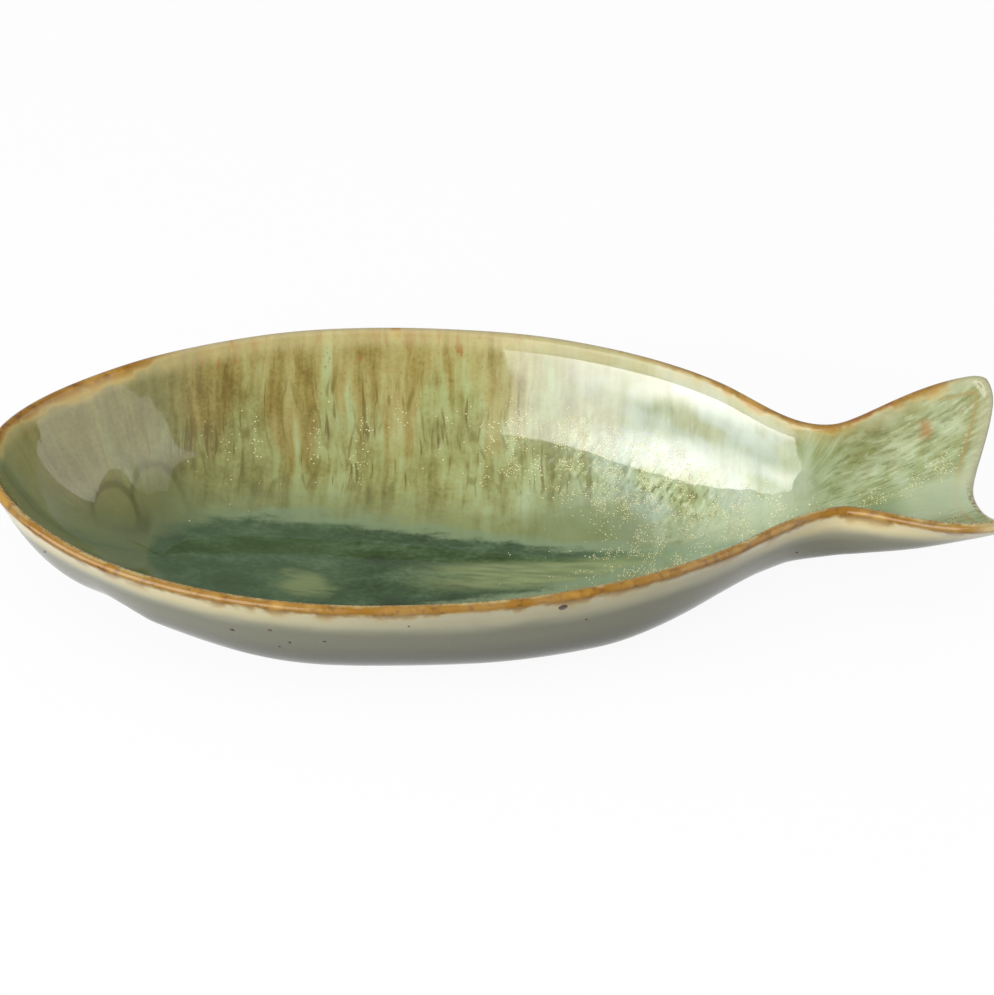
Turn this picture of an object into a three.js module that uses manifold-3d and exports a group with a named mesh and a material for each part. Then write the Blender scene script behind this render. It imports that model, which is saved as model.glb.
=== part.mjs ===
// A fish-shaped serving dish: one stoneware shell on a low foot ring, under several fired coats of glaze.
// Millimetres. The mouth points to -X and the tail to +X, +Z is up, and the foot stands on z = 0.
import * as THREE from "three";
import { mergeVertices } from "three/addons/utils/BufferGeometryUtils.js";
import Module from "manifold-3d";

// Plan of the lip's centre line, one half of a mirrored outline.
// A reach is the length of a curve's handle on that side of a point.
const mouthX = -150;
const mouthReach = 30;
const bellyX = -34;
const bellyHalfWidth = 68;
const bellyReachToMouth = 66;
const bellyReachToTail = 56.5;
const flankX = 69;
const flankHalfWidth = 40.7;
const flankAngle = 34;
const flankReachToMouth = 19;
const flankReachToTail = 12;
const waistX = 103;
const waistHalfWidth = 20.2;
const waistReachToMouth = 13;
const waistReachToTail = 9;
const tailTipX = 150.3;
const tailTipHalfWidth = 35.6;
const tailTipReach = 17;
const tailCornerRadius = 5;
const tailEndReach = 6;
const notchDepth = 7.5;
const notchReach = 10.5;

// The lip's centre line dips at the waist and rises to the mouth and to the tail's tips.
const mouthLift = 3;
const mouthLiftFromX = -90;
const waistDip = 2;
const waistDipX = 94;
const waistDipSpread = 24;
const tailLift = 6.2;
const tailLiftFromX = 84;

// The keel is the lowest line of the wall's middle surface, level under the belly. The bowl's depth runs
// from there to the lip's centre line, and the head's ribs meet above the keel in one hub.
const bowlDepth = 42;
const keelHeadRise = 19;
const keelHeadRiseFromX = -42;
const keelTailRiseFromX = -12;
const notchDrop = 10.5;
const headHubX = -100;

// How full the cross section is along the dish. The wall climbs as this power of the distance from the
// keel, so 1 is a vee, 2 is round, and more has a flatter floor under a steeper wall that flares.
const mouthFullness = 5;
const cheekX = -118;
const cheekFullness = 3;
const bellyFullFromX = -50;
const bellyFullToX = 30;
const bellyFullness = 5;
const flankFullX = 80;
const flankFullness = 2.2;
const waistFullFromX = 86;
const waistFullX = 110;
const waistFullness = 4.2;
const tailFullness = 2.3;

// The wall straightens and flares a little over its last stretch below the lip, more where it is fuller.
const lipFlare = 0.02;
const lipFlarePower = 16;

// The wall with its coats is thin at the lip and reaches its full thickness some way down.
const lipThickness = 3.2;
const floorThickness = 5;
const thickeningLength = 40;
const glazeThickness = 0.5;
const coatClearance = 0.05;

// The brown band over the lip, and the line where it meets the other coats.
const rimBandWidth = 3.5;
const coatJointWidth = 0.3;

// The pool of thick glaze in the well, round at the head and pointed towards the tail.
const poolMiddleX = -50;
const poolHalfWidth = 23;
const poolHeadRadius = 9;
const poolTailX = 58;
const poolTaper = 1.5;
const poolThickness = 0.8;
const poolEdgeThickness = 0.2;
const poolClearance = 0.2;

// The oval foot ring holds the belly's underside off the table.
const footHeight = 2.5;
const footMiddleX = -25;
const footHalfLength = 50;
const footHalfWidth = 24;
const footWidth = 4;
const footBevel = 0.6;
const footClearance = 0.3;

// How finely the surfaces are divided.
const headSteps = 9;
const bellySteps = 8;
const flankSteps = 4;
const tailSteps = 4;
const cornerSteps = 2;
const wallRows = 8;
const poolRows = 3;
const lipSteps = 5;
const footSteps = 48;
const ribSamples = 160;
const lipCrowding = 3;
const slopeLength = 1;
const slopeStep = 1e-4;
const searchRounds = 48;
const joinDistance = 0.005;

// Half outline in plan: the side runs from the mouth to the middle of the tail's rounded corner, and
// the trailing edge runs on from there to the notch between the two lobes.
const plan = (x, y) => new THREE.Vector2(x, y);
const lengthways = plan(1, 0);
const crossways = plan(0, 1);
const flankWay = lengthways.clone().rotateAround(plan(0, 0), -THREE.MathUtils.degToRad(flankAngle));
const mouth = plan(mouthX, 0);
const belly = plan(bellyX, bellyHalfWidth);
const flank = plan(flankX, flankHalfWidth);
const waist = plan(waistX, waistHalfWidth);
const tailSideEnd = plan(tailTipX - tailCornerRadius, tailTipHalfWidth);
const tailEndStart = plan(tailTipX, tailTipHalfWidth - tailCornerRadius);
const notch = plan(tailTipX - notchDepth, 0);

const moved = (from, way, length) => from.clone().addScaledVector(way, length);

function curveBetween(from, fromWay, fromReach, to, toWay, toReach) {
  const leaving = moved(from, fromWay, fromReach);
  const arriving = moved(to, toWay, -toReach);
  return new THREE.CubicBezierCurve(from, leaving, arriving, to);
}

function tailCorner(startAngle, endAngle) {
  const radius = tailCornerRadius;
  return new THREE.EllipseCurve(tailSideEnd.x, tailEndStart.y, radius, radius, startAngle, endAngle, true);
}

const backways = crossways.clone().negate();
const side = new THREE.CurvePath();
side.add(curveBetween(mouth, crossways, mouthReach, belly, lengthways, bellyReachToMouth));
side.add(curveBetween(belly, lengthways, bellyReachToTail, flank, flankWay, flankReachToMouth));
side.add(curveBetween(flank, flankWay, flankReachToTail, waist, lengthways, waistReachToMouth));
side.add(curveBetween(waist, lengthways, waistReachToTail, tailSideEnd, lengthways, tailTipReach));
side.add(tailCorner(Math.PI / 2, Math.PI / 4));
const trailingEdge = new THREE.CurvePath();
trailingEdge.add(tailCorner(Math.PI / 4, 0));
trailingEdge.add(curveBetween(tailEndStart, backways, tailEndReach, notch, backways, notchReach));
const tailTip = side.getPoint(1);

// Heights and section along the dish
const keelHeight = footHeight + floorThickness / 2;
const rimHeight = keelHeight + bowlDepth;
const share = (value, from, to) => THREE.MathUtils.clamp((value - from) / (to - from), 0, 1);
const easedShare = (value, from, to) => THREE.MathUtils.smoothstep(share(value, from, to), 0, 1);

function rimZ(x) {
  const head = mouthLift * share(x, mouthLiftFromX, mouthX) ** 2;
  const dip = waistDip * Math.exp(-(((x - waistDipX) / waistDipSpread) ** 2));
  const tail = tailLift * share(x, tailLiftFromX, tailTipX) ** 2;
  return rimHeight + head - dip + tail;
}

function keelZ(x) {
  const head = keelHeadRise * share(x, keelHeadRiseFromX, mouthX) ** 2;
  const tail = (bowlDepth - notchDrop) * share(x, keelTailRiseFromX, notch.x) ** 2;
  return keelHeight + head + tail;
}

function fullnessAt(x) {
  const cheek = (cheekFullness - mouthFullness) * easedShare(x, mouthX, cheekX);
  const body = (bellyFullness - cheekFullness) * easedShare(x, cheekX, bellyFullFromX);
  const rear = (flankFullness - bellyFullness) * easedShare(x, bellyFullToX, flankFullX);
  const narrow = (waistFullness - flankFullness) * easedShare(x, waistFullFromX, waistFullX);
  const tail = (tailFullness - waistFullness) * easedShare(x, waistX, tailTipX);
  return mouthFullness + cheek + body + rear + narrow + tail;
}

// A rib runs down the wall from the lip to the keel. At the head the ribs meet in one hub, along the
// body they lie straight across, and in the tail they bend until the last one is the trailing edge.
// The place along a rib is 1 at the lip and 0 at the keel.
function ribAt(along) {
  const edge = side.getPoint(along);
  const tail = share(edge.x, waistX, tailTip.x);
  const tailFootX = THREE.MathUtils.lerp(waistX, notch.x, tail);
  const footX = edge.x > waistX ? tailFootX : Math.max(edge.x, headHubX);
  return { along, edge, tail, footX, edgeZ: rimZ(edge.x), power: fullnessAt(edge.x) };
}

function ribPoint(rib, place) {
  const straight = notch.clone().lerp(tailTip, place);
  const bend = trailingEdge.getPoint(1 - place).sub(straight).multiplyScalar(rib.tail ** 2);
  const x = THREE.MathUtils.lerp(rib.footX, rib.edge.x, place) + bend.x;
  const y = rib.edge.y * place + bend.y;
  const floor = keelZ(rib.edge.x < headHubX ? x : rib.footX);
  const rounded = place ** rib.power;
  const climb = rounded + lipFlare * (rib.power - 1) * (rounded - place ** lipFlarePower);
  return new THREE.Vector3(x, y, THREE.MathUtils.lerp(floor, rib.edgeZ, climb));
}

// Samples down a rib, close together at the lip, with the distance from the lip at each
function walkDown(rib) {
  const walk = [{ place: 1, down: 0 }];
  let last = ribPoint(rib, 1);
  for (let sample = 1; sample <= ribSamples; sample += 1) {
    const place = 1 - (sample / ribSamples) ** lipCrowding;
    const next = ribPoint(rib, place);
    walk.push({ place, down: walk.at(-1).down + next.distanceTo(last) });
    last = next;
  }
  return walk;
}

// The place on a rib at some distance down from the lip, and the distance at some place
function placeAt(walk, down) {
  const next = walk.findIndex((step) => step.down > down);
  if (next < 0) return 0;
  if (next === 0) return 1;
  const [before, after] = [walk[next - 1], walk[next]];
  return THREE.MathUtils.lerp(before.place, after.place, share(down, before.down, after.down));
}

function downAt(walk, place) {
  const next = walk.findIndex((step) => step.place < place);
  if (next < 0) return walk.at(-1).down;
  if (next === 0) return 0;
  const [before, after] = [walk[next - 1], walk[next]];
  return THREE.MathUtils.lerp(before.down, after.down, share(place, before.place, after.place));
}

// One point of the wall's middle surface, with the way into the bowl, the ways along and up the wall
// and half of the wall's thickness there
function wallPoint(rib, walk, place) {
  const at = ribPoint(rib, place);
  const down = downAt(walk, place);
  const fromEdge = Math.min(down, notch.x - rib.footX);
  const thickened = easedShare(fromEdge, 0, thickeningLength);
  const thickness = THREE.MathUtils.lerp(lipThickness, floorThickness, thickened);
  const ways = place > 0 ? slopesOnRib(rib, walk, place, down) : slopesOnKeel(rib.footX);
  const inward = ways.forward.clone().cross(ways.up).normalize();
  return { at, inward, forward: ways.forward, up: ways.up, half: thickness / 2 };
}

function slopesOnRib(rib, walk, place, down) {
  const after = ribPoint(ribAt(Math.min(1, rib.along + slopeStep)), place);
  const before = ribPoint(ribAt(Math.max(0, rib.along - slopeStep)), place);
  if (rib.along < slopeStep) before.copy(after).setY(-after.y);
  const higher = ribPoint(rib, placeAt(walk, down - slopeLength));
  const lower = ribPoint(rib, placeAt(walk, down + slopeLength));
  return { forward: after.sub(before).normalize(), up: higher.sub(lower).normalize() };
}

function slopesOnKeel(x) {
  const rise = keelZ(x + slopeStep) - keelZ(x - slopeStep);
  return {
    forward: new THREE.Vector3(2 * slopeStep, 0, rise).normalize(),
    up: new THREE.Vector3(0, 1, 0),
  };
}

// Columns of the wall's grid: even steps along each curve, then the joint of the coats and the brown
// band before the trailing edge
function alongAtX(x) {
  let low = 0;
  let high = 1;
  for (let round = 0; round < searchRounds; round += 1) {
    const middle = (low + high) / 2;
    if (side.getPoint(middle).x < x) low = middle;
    else high = middle;
  }
  return low;
}

function ribBeforeNotch(distance) {
  const tail = 1 - distance / (notch.x - waistX);
  return alongAtX(THREE.MathUtils.lerp(waistX, tailTip.x, tail));
}

const evenSteps = (from, to, steps) =>
  Array.from({ length: steps }, (_, step) => THREE.MathUtils.lerp(from, to, step / steps));

const jointAlong = ribBeforeNotch(rimBandWidth + coatJointWidth);
const bandAlong = ribBeforeNotch(rimBandWidth);
const columns = [
  ...evenSteps(0, alongAtX(bellyX), headSteps),
  ...evenSteps(alongAtX(bellyX), alongAtX(flankX), bellySteps),
  ...evenSteps(alongAtX(flankX), alongAtX(waistX), flankSteps),
  ...evenSteps(alongAtX(waistX), jointAlong, tailSteps),
  jointAlong,
  ...evenSteps(bandAlong, 1, cornerSteps),
  1,
];
const lastColumn = columns.length - 1;
const jointColumn = columns.indexOf(jointAlong);
const bandColumn = columns.indexOf(bandAlong);
const bandRow = 1;
const jointRow = 2;
const keelRow = jointRow + wallRows;

function wallColumn(along) {
  const rib = ribAt(along);
  const walk = walkDown(rib);
  const fromJoint = rimBandWidth + coatJointWidth;
  const wholeLength = walk.at(-1).down;
  const rowDowns = [0, rimBandWidth, ...evenSteps(fromJoint, wholeLength, wallRows)];
  const places = rowDowns.map((down) => placeAt(walk, down));
  return [...places, 0].map((place) => wallPoint(rib, walk, place));
}

const wall = columns.map(wallColumn);

// Offsets from the wall's middle surface, as functions of half its thickness
const onGlaze = (half) => half;
const underGlaze = (half) => half - glazeThickness;
const onClay = (half) => half - glazeThickness - coatClearance;
const outside = (offset) => (half) => -offset(half);

const offsetPoint = (node, offset) => node.at.clone().addScaledVector(node.inward, offset(node.half));

// A skin gathers triangles of the half with y above zero and mirrors each one
function newSkin() {
  const places = [];
  const triangle = (...corners) => {
    for (const corner of corners) places.push(corner.x, corner.y, corner.z);
    for (const corner of corners.toReversed()) places.push(corner.x, -corner.y, corner.z);
  };
  const quad = (a, b, c, d) => {
    triangle(a, b, c);
    triangle(a, c, d);
  };
  return { places, quad };
}

// The same four corners seen from the other side, cut along the same diagonal
const turnedOver = ([a, b, c, d]) => [a, d, c, b];

// A sheet over the chosen cells of a grid, facing into the bowl or out of it
function addSheet(skin, grid, isChosen, offset, facesIn) {
  for (let column = 0; column + 1 < grid.length; column += 1) {
    for (let row = 0; row + 1 < grid[column].length; row += 1) {
      if (!isChosen(column, row)) continue;
      const corners = [
        grid[column][row],
        grid[column + 1][row],
        grid[column + 1][row + 1],
        grid[column][row + 1],
      ].map((node) => offsetPoint(node, offset));
      skin.quad(...(facesIn ? turnedOver(corners) : corners));
    }
  }
}

// A narrow strip along a line of nodes, from one offset to another
function addStrip(skin, nodes, from, to) {
  for (let i = 0; i + 1 < nodes.length; i += 1) {
    skin.quad(
      offsetPoint(nodes[i], from),
      offsetPoint(nodes[i + 1], from),
      offsetPoint(nodes[i + 1], to),
      offsetPoint(nodes[i], to),
    );
  }
}

// The line of nodes that lies one row in from the side and one column in from the trailing edge
function lineInGrid(grid, row, column) {
  const alongSide = grid.slice(0, column + 1).map((nodes) => nodes[row]);
  return [...alongSide, ...grid[column].slice(row + 1)];
}

// The half-round roll over the lip, from the inside round to the outside
function addLipRoll(skin, radius, facesOut) {
  const nodes = lineInGrid(wall, 0, lastColumn);
  const turns = nodes.map((node, i) => {
    const way = new THREE.Vector3();
    if (i <= lastColumn) way.add(node.forward);
    if (i >= lastColumn) way.sub(node.up);
    const over = node.inward.clone().cross(way).normalize();
    return Array.from({ length: lipSteps + 1 }, (_, step) => {
      const angle = (Math.PI * step) / lipSteps;
      const reach = radius(node.half);
      return node.at
        .clone()
        .addScaledVector(node.inward, reach * Math.cos(angle))
        .addScaledVector(over, reach * Math.sin(angle));
    });
  });
  for (let i = 0; i + 1 < turns.length; i += 1) {
    for (let step = 0; step < lipSteps; step += 1) {
      const corners = [turns[i][step], turns[i + 1][step], turns[i + 1][step + 1], turns[i][step + 1]];
      skin.quad(...(facesOut ? corners : turnedOver(corners)));
    }
  }
}

// Joins a skin's corners, without the triangles that shrink to nothing at the head's hub
function closedGeometry(skin) {
  const loose = new THREE.BufferGeometry();
  loose.setAttribute("position", new THREE.Float32BufferAttribute(skin.places, 3));
  const joined = mergeVertices(loose, joinDistance);
  const kept = [];
  for (let i = 0; i < joined.index.count; i += 3) {
    const corners = [0, 1, 2].map((corner) => joined.index.getX(i + corner));
    if (new Set(corners).size === corners.length) kept.push(...corners);
  }
  joined.setIndex(kept);
  return joined;
}

const inCoat = (column, row) => row >= jointRow && column < jointColumn;
const inBand = (column, row) => row < bandRow || column >= bandColumn;
const everywhere = () => true;

function bodyGeometry() {
  const skin = newSkin();
  addSheet(skin, wall, everywhere, onClay, true);
  addSheet(skin, wall, everywhere, outside(onClay), false);
  addLipRoll(skin, onClay, true);
  return closedGeometry(skin);
}

function coatGeometry(inner, outer) {
  const skin = newSkin();
  addSheet(skin, wall, inCoat, inner, true);
  addSheet(skin, wall, inCoat, outer, false);
  addStrip(skin, lineInGrid(wall, jointRow, jointColumn), inner, outer);
  return closedGeometry(skin);
}

function rimGeometry() {
  const skin = newSkin();
  const bandEdge = lineInGrid(wall, bandRow, bandColumn);
  addSheet(skin, wall, inBand, onGlaze, true);
  addSheet(skin, wall, inBand, underGlaze, false);
  addSheet(skin, wall, inBand, outside(underGlaze), true);
  addSheet(skin, wall, inBand, outside(onGlaze), false);
  addLipRoll(skin, onGlaze, true);
  addLipRoll(skin, underGlaze, false);
  addStrip(skin, bandEdge, underGlaze, onGlaze);
  addStrip(skin, bandEdge, outside(onGlaze), outside(underGlaze));
  return closedGeometry(skin);
}

// The pool lies on the inner coat along the keel
function poolHalfWidthAt(x) {
  const swell = Math.sin((Math.PI / 2) * share(x, headHubX, poolMiddleX));
  const taper = 1 - share(x, poolMiddleX, poolTailX) ** poolTaper;
  return THREE.MathUtils.lerp(poolHeadRadius, poolHalfWidth, swell) * taper;
}

function poolColumn(along) {
  const rib = ribAt(along);
  const walk = walkDown(rib);
  const ribLength = rib.edge.distanceTo(plan(rib.footX, 0));
  const width = poolHalfWidthAt(rib.footX);
  const fullShare = width / poolHalfWidth;
  return [...evenSteps(1, 0, poolRows), 0].map((across) => {
    const node = wallPoint(rib, walk, (across * width) / ribLength);
    node.deep = poolEdgeThickness + poolThickness * fullShare * (1 - across ** 2);
    return node;
  });
}

function poolGeometry() {
  const poolColumns = columns.filter((along) => side.getPoint(along).x < poolTailX);
  const grid = poolColumns.map(poolColumn);
  const skin = newSkin();
  const bottom = (half) => half + poolClearance;
  const raised = grid.map((nodes) =>
    nodes.map((node) => ({ ...node, at: node.at.clone().addScaledVector(node.inward, node.deep) })),
  );
  addSheet(skin, raised, everywhere, bottom, true);
  addSheet(skin, grid, everywhere, bottom, false);
  const upper = lineInGrid(raised, 0, grid.length - 1);
  const lower = lineInGrid(grid, 0, grid.length - 1);
  for (let i = 0; i + 1 < upper.length; i += 1) {
    const [a, b] = [upper[i], upper[i + 1]].map((node) => offsetPoint(node, bottom));
    const [d, c] = [lower[i], lower[i + 1]].map((node) => offsetPoint(node, bottom));
    skin.quad(a, b, c, d);
  }
  return closedGeometry(skin);
}

// Points round the foot's oval, moved outwards by a margin or inwards by a negative one
function footOval(margin) {
  const oval = new THREE.EllipseCurve(footMiddleX, 0, footHalfLength + margin, footHalfWidth + margin);
  return oval.getPoints(footSteps);
}

// Height of the clay's underside over a point of the table below the straight part of the body
function clayUndersideZ(x, y) {
  const rib = ribAt(alongAtX(x));
  const node = wallPoint(rib, walkDown(rib), Math.abs(y) / rib.edge.y);
  return node.at.z - onClay(node.half) / node.inward.z;
}

function footGeometry() {
  const ovals = {
    outer: footOval(0),
    outerBevel: footOval(-footBevel),
    innerBevel: footOval(footBevel - footWidth),
    inner: footOval(-footWidth),
  };
  const floor = () => 0;
  const bevelled = () => footBevel;
  const seat = ({ x, y }) => clayUndersideZ(x, y) - footClearance;
  const profile = [
    [ovals.outerBevel, floor],
    [ovals.outer, bevelled],
    [ovals.outer, seat],
    [ovals.inner, seat],
    [ovals.inner, bevelled],
    [ovals.innerBevel, floor],
  ].map(([oval, heightOf]) => oval.map((p) => new THREE.Vector3(p.x, p.y, heightOf(p))));
  const places = [];
  profile.forEach((ring, i) => {
    const next = profile[(i + 1) % profile.length];
    for (let step = 0; step < footSteps; step += 1) {
      const [a, b, c, d] = [ring[step], ring[step + 1], next[step + 1], next[step]];
      for (const corner of [a, b, c, a, c, d]) places.push(corner.x, corner.y, corner.z);
    }
  });
  return closedGeometry({ places });
}

// Joining and cutting of closed shapes
const wasm = await Module();
wasm.setup();

function solidOf(geometry) {
  const bare = new THREE.BufferGeometry();
  bare.setAttribute("position", geometry.getAttribute("position"));
  bare.setIndex(geometry.index);
  const joined = mergeVertices(bare);
  const vertProperties = joined.getAttribute("position").array;
  const triVerts = new Uint32Array(joined.index.array);
  return new wasm.Manifold(new wasm.Mesh({ numProp: 3, vertProperties, triVerts }));
}

function geometryOf(solid) {
  const { vertProperties, triVerts } = solid.getMesh();
  const geometry = new THREE.BufferGeometry();
  geometry.setAttribute("position", new THREE.BufferAttribute(vertProperties, 3));
  geometry.setIndex(new THREE.BufferAttribute(triVerts, 1));
  return geometry;
}

function footPrism(margin) {
  const shape = new THREE.Shape(footOval(margin).slice(0, footSteps));
  return solidOf(new THREE.ExtrudeGeometry(shape, { depth: rimHeight, bevelEnabled: false }));
}

const outerCoat = solidOf(coatGeometry(outside(underGlaze), outside(onGlaze)));

function outerGlazeGeometry() {
  return geometryOf(outerCoat.subtract(footPrism(footClearance)));
}

function baseGlazeGeometry() {
  return geometryOf(outerCoat.intersect(footPrism(-footWidth - footClearance)));
}

// The dish, one mesh for each piece
const dish = new THREE.Group();

function addPiece(name, geometry, color, roughness) {
  const solid = geometry.index ? geometry.toNonIndexed() : geometry;
  solid.computeVertexNormals();
  const piece = new THREE.Mesh(solid, new THREE.MeshStandardMaterial({ color, roughness, metalness: 0 }));
  piece.name = name;
  dish.add(piece);
}

addPiece("stoneware_body", bodyGeometry(), 0xb9a98c, 0.85);
addPiece("foot_ring", footGeometry(), 0xb39f80, 0.9);
addPiece("inner_glaze", coatGeometry(onGlaze, underGlaze), 0x9caa80, 0.12);
addPiece("glaze_pool", poolGeometry(), 0x46624b, 0.06);
addPiece("rim_glaze", rimGeometry(), 0xa8692c, 0.2);
addPiece("outer_glaze", outerGlazeGeometry(), 0xcfcbba, 0.15);
addPiece("base_glaze", baseGlazeGeometry(), 0xcfcbba, 0.15);

export default dish;
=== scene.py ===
import math
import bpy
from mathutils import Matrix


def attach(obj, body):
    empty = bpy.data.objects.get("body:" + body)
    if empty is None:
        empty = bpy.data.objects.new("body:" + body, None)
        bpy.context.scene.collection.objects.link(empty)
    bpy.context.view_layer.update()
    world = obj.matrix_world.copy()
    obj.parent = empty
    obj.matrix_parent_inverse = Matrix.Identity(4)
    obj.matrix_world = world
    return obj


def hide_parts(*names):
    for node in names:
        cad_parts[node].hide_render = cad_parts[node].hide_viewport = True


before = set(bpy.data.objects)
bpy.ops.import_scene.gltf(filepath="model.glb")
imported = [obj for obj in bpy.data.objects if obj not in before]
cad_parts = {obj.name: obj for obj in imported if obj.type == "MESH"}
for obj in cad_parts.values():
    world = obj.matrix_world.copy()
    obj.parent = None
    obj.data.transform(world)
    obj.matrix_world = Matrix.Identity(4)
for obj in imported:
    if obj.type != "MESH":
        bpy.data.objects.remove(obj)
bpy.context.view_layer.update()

from types import SimpleNamespace

import bmesh
import bpy
import numpy as np
from mathutils import Matrix, Vector, noise
from mathutils.bvhtree import BVHTree

# The shell
# One piece of pressed buff stoneware: a deep oval bowl that narrows to a waist and opens into a notched
# tail. Its shape is a rule, in which ribs run down the wall from the lip to the keel. The potter's clay,
# the coats of glaze and the pool in the well all lie at some distance from that wall.
mouth_x = -0.150
mouth_reach = 0.030
belly = np.array([-0.034, 0.068])
belly_reaches = (0.066, 0.0565)
flank = np.array([0.069, 0.0407])
flank_way = np.array([math.cos(math.radians(34)), -math.sin(math.radians(34))])
flank_reaches = (0.019, 0.012)
waist = np.array([0.103, 0.0202])
waist_reaches = (0.013, 0.009)
tail_tip_x = 0.1503
tail_tip_half_width = 0.0356
tail_tip_reach = 0.017
tail_corner_radius = 0.005
tail_end_reach = 0.006
notch = np.array([tail_tip_x - 0.0075, 0.0])
notch_reach = 0.0105
lengthways = np.array([1.0, 0.0])
crossways = np.array([0.0, 1.0])

foot_height = 0.0025
lip_thickness = 0.0032
floor_thickness = 0.005
thickening_length = 0.040
bowl_depth = 0.042
keel_height = foot_height + floor_thickness / 2
rim_height = keel_height + bowl_depth
head_hub_x = -0.100
curve_steps = 800
corner_steps = 100


def curve_points(start, start_way, start_reach, end, end_way, end_reach):
    share = np.linspace(0, 1, curve_steps + 1)[:, None]
    leaving = start + start_way * start_reach
    arriving = end - end_way * end_reach
    rest = 1 - share
    first_half = rest**3 * start + 3 * rest**2 * share * leaving
    return first_half + 3 * rest * share**2 * arriving + share**3 * end


def corner_points(start_degrees, end_degrees):
    angles = np.radians(np.linspace(start_degrees, end_degrees, corner_steps + 1))
    centre = np.array([tail_tip_x, tail_tip_half_width]) - tail_corner_radius
    return centre + tail_corner_radius * np.stack([np.cos(angles), np.sin(angles)], -1)


def joined_path(*curves):
    points = np.concatenate([curves[0], *[curve[1:] for curve in curves[1:]]])
    steps = np.hypot(*np.diff(points, axis=0).T)
    return points, np.concatenate([[0], np.cumsum(steps)])


def on_path(path, share):
    points, travelled = path
    wanted = np.asarray(share) * travelled[-1]
    return np.stack([np.interp(wanted, travelled, points[:, axis]) for axis in (0, 1)], -1)


tail_side_end = np.array([tail_tip_x - tail_corner_radius, tail_tip_half_width])
tail_end_start = np.array([tail_tip_x, tail_tip_half_width - tail_corner_radius])
mouth = np.array([mouth_x, 0.0])
side_path = joined_path(
    curve_points(mouth, crossways, mouth_reach, belly, lengthways, belly_reaches[0]),
    curve_points(belly, lengthways, belly_reaches[1], flank, flank_way, flank_reaches[0]),
    curve_points(flank, flank_way, flank_reaches[1], waist, lengthways, waist_reaches[0]),
    curve_points(waist, lengthways, waist_reaches[1], tail_side_end, lengthways, tail_tip_reach),
    corner_points(90, 45),
)
trailing_path = joined_path(
    corner_points(45, 0),
    curve_points(tail_end_start, -crossways, tail_end_reach, notch, -crossways, notch_reach),
)
tail_tip = side_path[0][-1]
side_length = side_path[1][-1]


def portion(value, start, end):
    return np.clip((value - start) / (end - start), 0, 1)


def eased(value, start, end):
    """A smooth step from 0 at the start to 1 at the end."""
    share = portion(value, start, end)
    return share * share * (3 - 2 * share)


def hump(value, middle, spread):
    """A round hump of height 1 that fades out on both sides of its middle."""
    return np.exp(-(((value - middle) / spread) ** 2))


head_lift = 0.003
head_lift_from_x = -0.090
waist_dip = 0.002
waist_dip_x = 0.094
waist_dip_spread = 0.024
tail_lift = 0.0062
tail_lift_from_x = 0.084


def rim_z(x):
    head = head_lift * portion(x, head_lift_from_x, mouth_x) ** 2
    dip = waist_dip * hump(x, waist_dip_x, waist_dip_spread)
    tail = tail_lift * portion(x, tail_lift_from_x, tail_tip_x) ** 2
    return rim_height + head - dip + tail


head_keel_rise = 0.019
head_keel_from_x = -0.042
notch_depth = 0.0105
tail_keel_from_x = -0.012


def keel_z(x):
    head = head_keel_rise * portion(x, head_keel_from_x, mouth_x) ** 2
    tail = (bowl_depth - notch_depth) * portion(x, tail_keel_from_x, notch[0]) ** 2
    return keel_height + head + tail


belly_fullness = 5.0
cheek_fullness = 3.0
flank_fullness = 2.2
waist_fullness = 4.2
tail_fullness = 2.3
cheek_x = -0.118


def fullness(x):
    """How squarely the wall stands on its floor. It is slacker at the cheek, the flank and the tail."""
    cheek = (cheek_fullness - belly_fullness) * eased(x, mouth_x, cheek_x)
    body = (belly_fullness - cheek_fullness) * eased(x, cheek_x, -0.050)
    rear = (flank_fullness - belly_fullness) * eased(x, 0.030, 0.080)
    narrow = (waist_fullness - flank_fullness) * eased(x, 0.086, 0.110)
    tail = (tail_fullness - waist_fullness) * eased(x, waist[0], tail_tip_x)
    return belly_fullness + cheek + body + rear + narrow + tail


def rib_feet(edge_x):
    tail = portion(edge_x, waist[0], tail_tip[0])
    in_tail = waist[0] + (notch[0] - waist[0]) * tail
    return np.where(edge_x > waist[0], in_tail, np.maximum(edge_x, head_hub_x)), tail


lip_flare = 0.02
flare_power = 16


def rib_points(along, place):
    """The wall's middle surface, at shares along the lip and at places from the keel, 0, to the lip, 1."""
    along, place = np.broadcast_arrays(along, place)
    edge = on_path(side_path, along)
    foot_x, tail = rib_feet(edge[..., 0])
    straight = notch + (tail_tip - notch) * place[..., None]
    bend = (on_path(trailing_path, 1 - place) - straight) * (tail**2)[..., None]
    x = foot_x + (edge[..., 0] - foot_x) * place + bend[..., 0]
    y = edge[..., 1] * place + bend[..., 1]
    floor = keel_z(np.where(edge[..., 0] < head_hub_x, x, foot_x))
    power = fullness(edge[..., 0])
    rounded = place**power
    climb = rounded + lip_flare * (power - 1) * (rounded - place**flare_power)
    return np.stack([x, y, floor + (rim_z(edge[..., 0]) - floor) * climb], -1)


place_steps = 240
sampled_places = 1 - (np.arange(place_steps + 1) / place_steps) ** 3


def distances_down(along):
    points = rib_points(along[:, None], sampled_places[None, :])
    steps = np.linalg.norm(np.diff(points, axis=1), axis=2)
    return np.concatenate([np.zeros((len(along), 1)), np.cumsum(steps, axis=1)], axis=1)


def places_at(walks, downs):
    return np.array([np.interp(down, walk, sampled_places) for down, walk in zip(downs, walks)])


def downs_at(walks, places):
    rising_places = sampled_places[::-1]
    return np.array([np.interp(place, rising_places, walk[::-1]) for place, walk in zip(places, walks)])


def unit(vectors):
    return vectors / np.linalg.norm(vectors, axis=-1, keepdims=True)


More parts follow.
